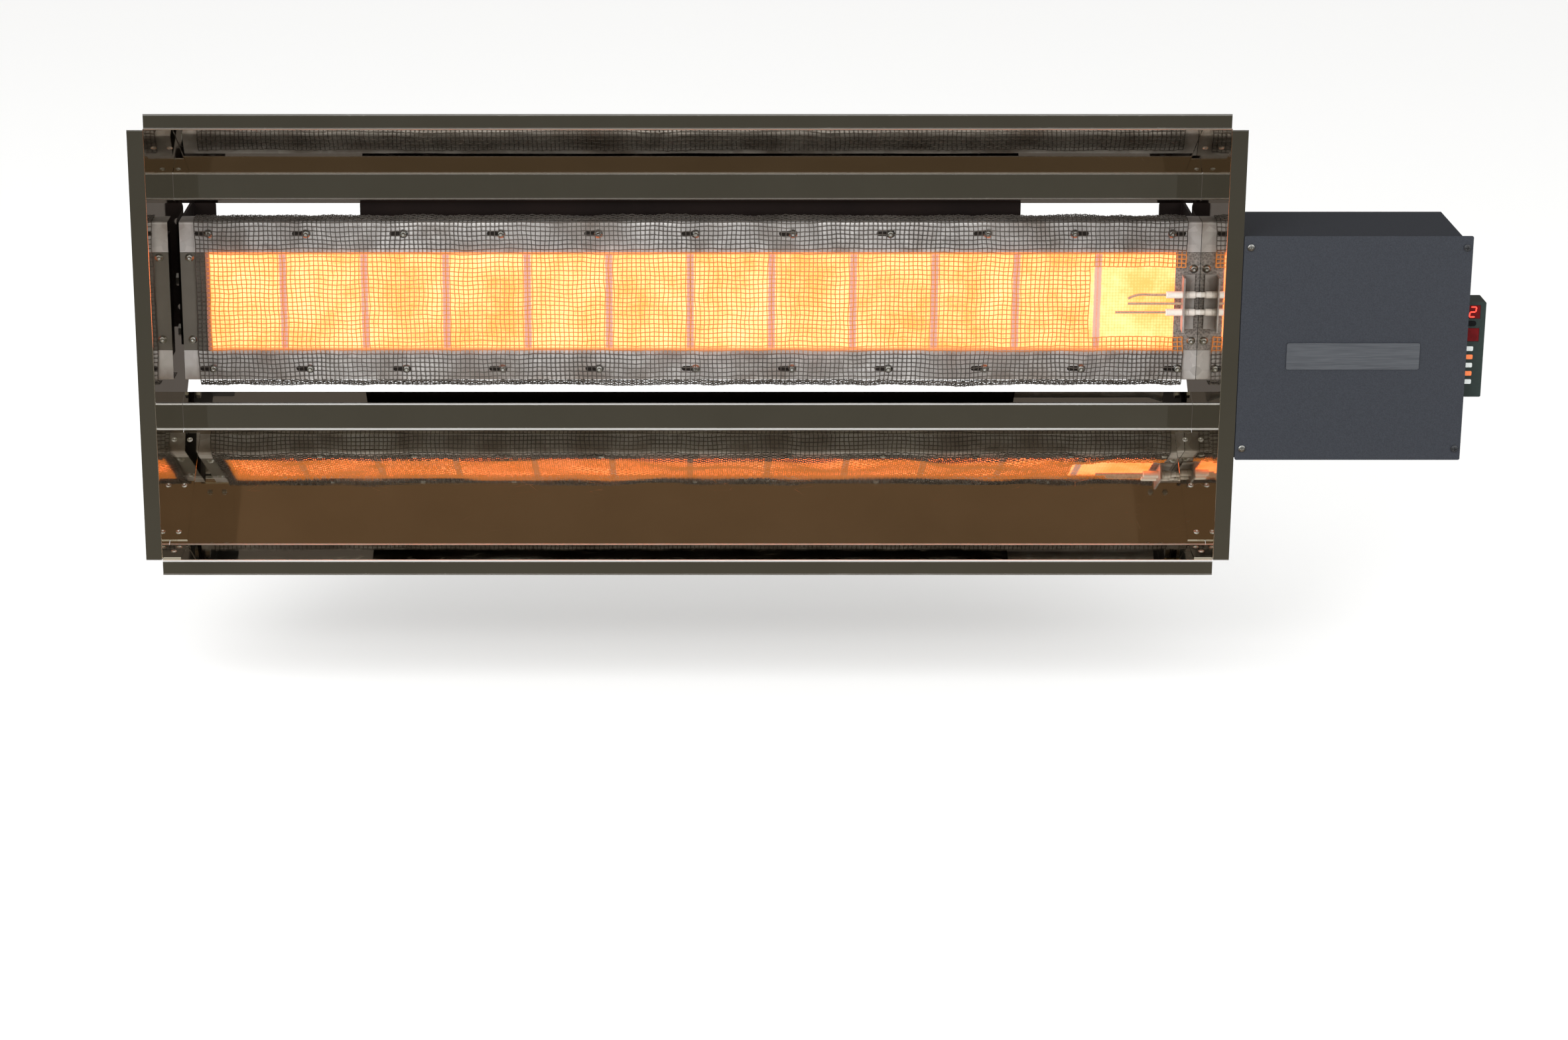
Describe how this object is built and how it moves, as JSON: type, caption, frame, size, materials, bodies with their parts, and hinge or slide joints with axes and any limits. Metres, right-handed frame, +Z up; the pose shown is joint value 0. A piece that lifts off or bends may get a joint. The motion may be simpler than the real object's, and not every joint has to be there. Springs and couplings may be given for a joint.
{
  "type": "gas radiant heater",
  "caption": "Long gas infrared heater: glowing ceramic plaques behind a wire screen in a mirror reflector, control box on the right end, tilting wall brackets.",
  "frame": {"origin": "middle of the left bracket's wall face", "axes": "+X along the reflector towards the control box, +Y back towards the wall, +Z up; the heater faces -Y"},
  "size_m": [1.4833, 0.3479, 0.523],
  "materials": {
    "mirror_steel": "mirror-polished stainless sheet",
    "galvanised_steel": "galvanised sheet, faint spangle",
    "glowing_ceramic": "perforated plaque, glowing at working heat",
    "fibre_gasket": "ceramic fibre paper, matt",
    "stainless_wire": "woven wire, bright",
    "black_paint": "satin black powder coat",
    "brass": "turned brass",
    "copper": "drawn copper pipe",
    "alumina": "dense white alumina",
    "heat_resistant_alloy": "oxidised resistance alloy",
    "silicone_sleeve": "white silicone",
    "anthracite_paint": "fine-textured anthracite powder coat",
    "zinc_plate": "zinc-plated steel",
    "brushed_badge": "brushed plate",
    "cast_aluminium": "die-cast, bead-blasted",
    "coil_resin": "encapsulating resin",
    "controller_plastic": "moulded, satin",
    "terminal_plastic": "moulded polyamide",
    "display_plastic": "moulded, smooth",
    "red_acrylic": "tinted acrylic window"
  },
  "bodies": {
    "wall_brackets": {"bracket_left": "black_paint", "bracket_right": "black_paint"},
    "heater": {"reflector_top": "mirror_steel", "reflector_bottom": "mirror_steel", "end_panel_left": "mirror_steel", "end_panel_right": "mirror_steel", "burner_casing": "galvanised_steel", "burner_rail_top": "galvanised_steel", "burner_rail_bottom": "galvanised_steel", "burner_end_left": "galvanised_steel", "burner_end_right": "galvanised_steel", "venturi_tube": "galvanised_steel", "electrode_bracket": "galvanised_steel", "ceramic_tile_01": "glowing_ceramic", "ceramic_tile_02": "glowing_ceramic", "ceramic_tile_03": "glowing_ceramic", "ceramic_tile_04": "glowing_ceramic", "ceramic_tile_05": "glowing_ceramic", "ceramic_tile_06": "glowing_ceramic", "ceramic_tile_07": "glowing_ceramic", "ceramic_tile_08": "glowing_ceramic", "ceramic_tile_09": "glowing_ceramic", "ceramic_tile_10": "glowing_ceramic", "ceramic_tile_11": "glowing_ceramic", "ceramic_tile_12": "glowing_ceramic", "tile_gasket": "fibre_gasket", "mesh_screen": "stainless_wire", "mixing_chamber": "black_paint", "gas_injector": "brass", "gas_inlet": "brass", "gas_pipe": "copper", "spark_insulator": "alumina", "sensor_insulator": "alumina", "spark_electrode": "heat_resistant_alloy", "flame_sensor_rod": "heat_resistant_alloy", "earth_rod": "heat_resistant_alloy", "spark_boot": "silicone_sleeve", "sensor_boot": "silicone_sleeve", "spark_lead": "silicone_sleeve", "sensor_lead": "silicone_sleeve", "control_box_body": "anthracite_paint", "control_box_cover": "anthracite_paint", "cover_screw_1": "zinc_plate", "cover_screw_2": "zinc_plate", "cover_screw_3": "zinc_plate", "cover_screw_4": "zinc_plate", "pivot_bolt_left": "zinc_plate", "pivot_bolt_right": "zinc_plate", "lock_bolt_left": "zinc_plate", "lock_bolt_right": "zinc_plate", "badge_plate": "brushed_badge", "gas_valve_body": "cast_aluminium", "valve_coil": "coil_resin", "ignition_controller": "controller_plastic", "cable_gland": "controller_plastic", "terminal_block": "terminal_plastic", "display_housing": "display_plastic", "display_window_upper": "red_acrylic", "display_window_lower": "red_acrylic"},
    "plunger": {"valve_plunger": "zinc_plate"}
  },
  "joints": [
    {"name": "heater_tilt", "type": "hinge", "parent": "wall_brackets", "child": "heater", "pos_m": [0.5722, -0.077, 0], "axis": [1, 0, 0], "range_deg": [0, 25]},
    {"name": "valve_lift", "type": "slide", "parent": "heater", "child": "plunger", "axis": [0, 0, 1], "range_m": [0, 0.004], "stiffness_N_per_m": 400, "springref_m": -0.004}
  ]
}
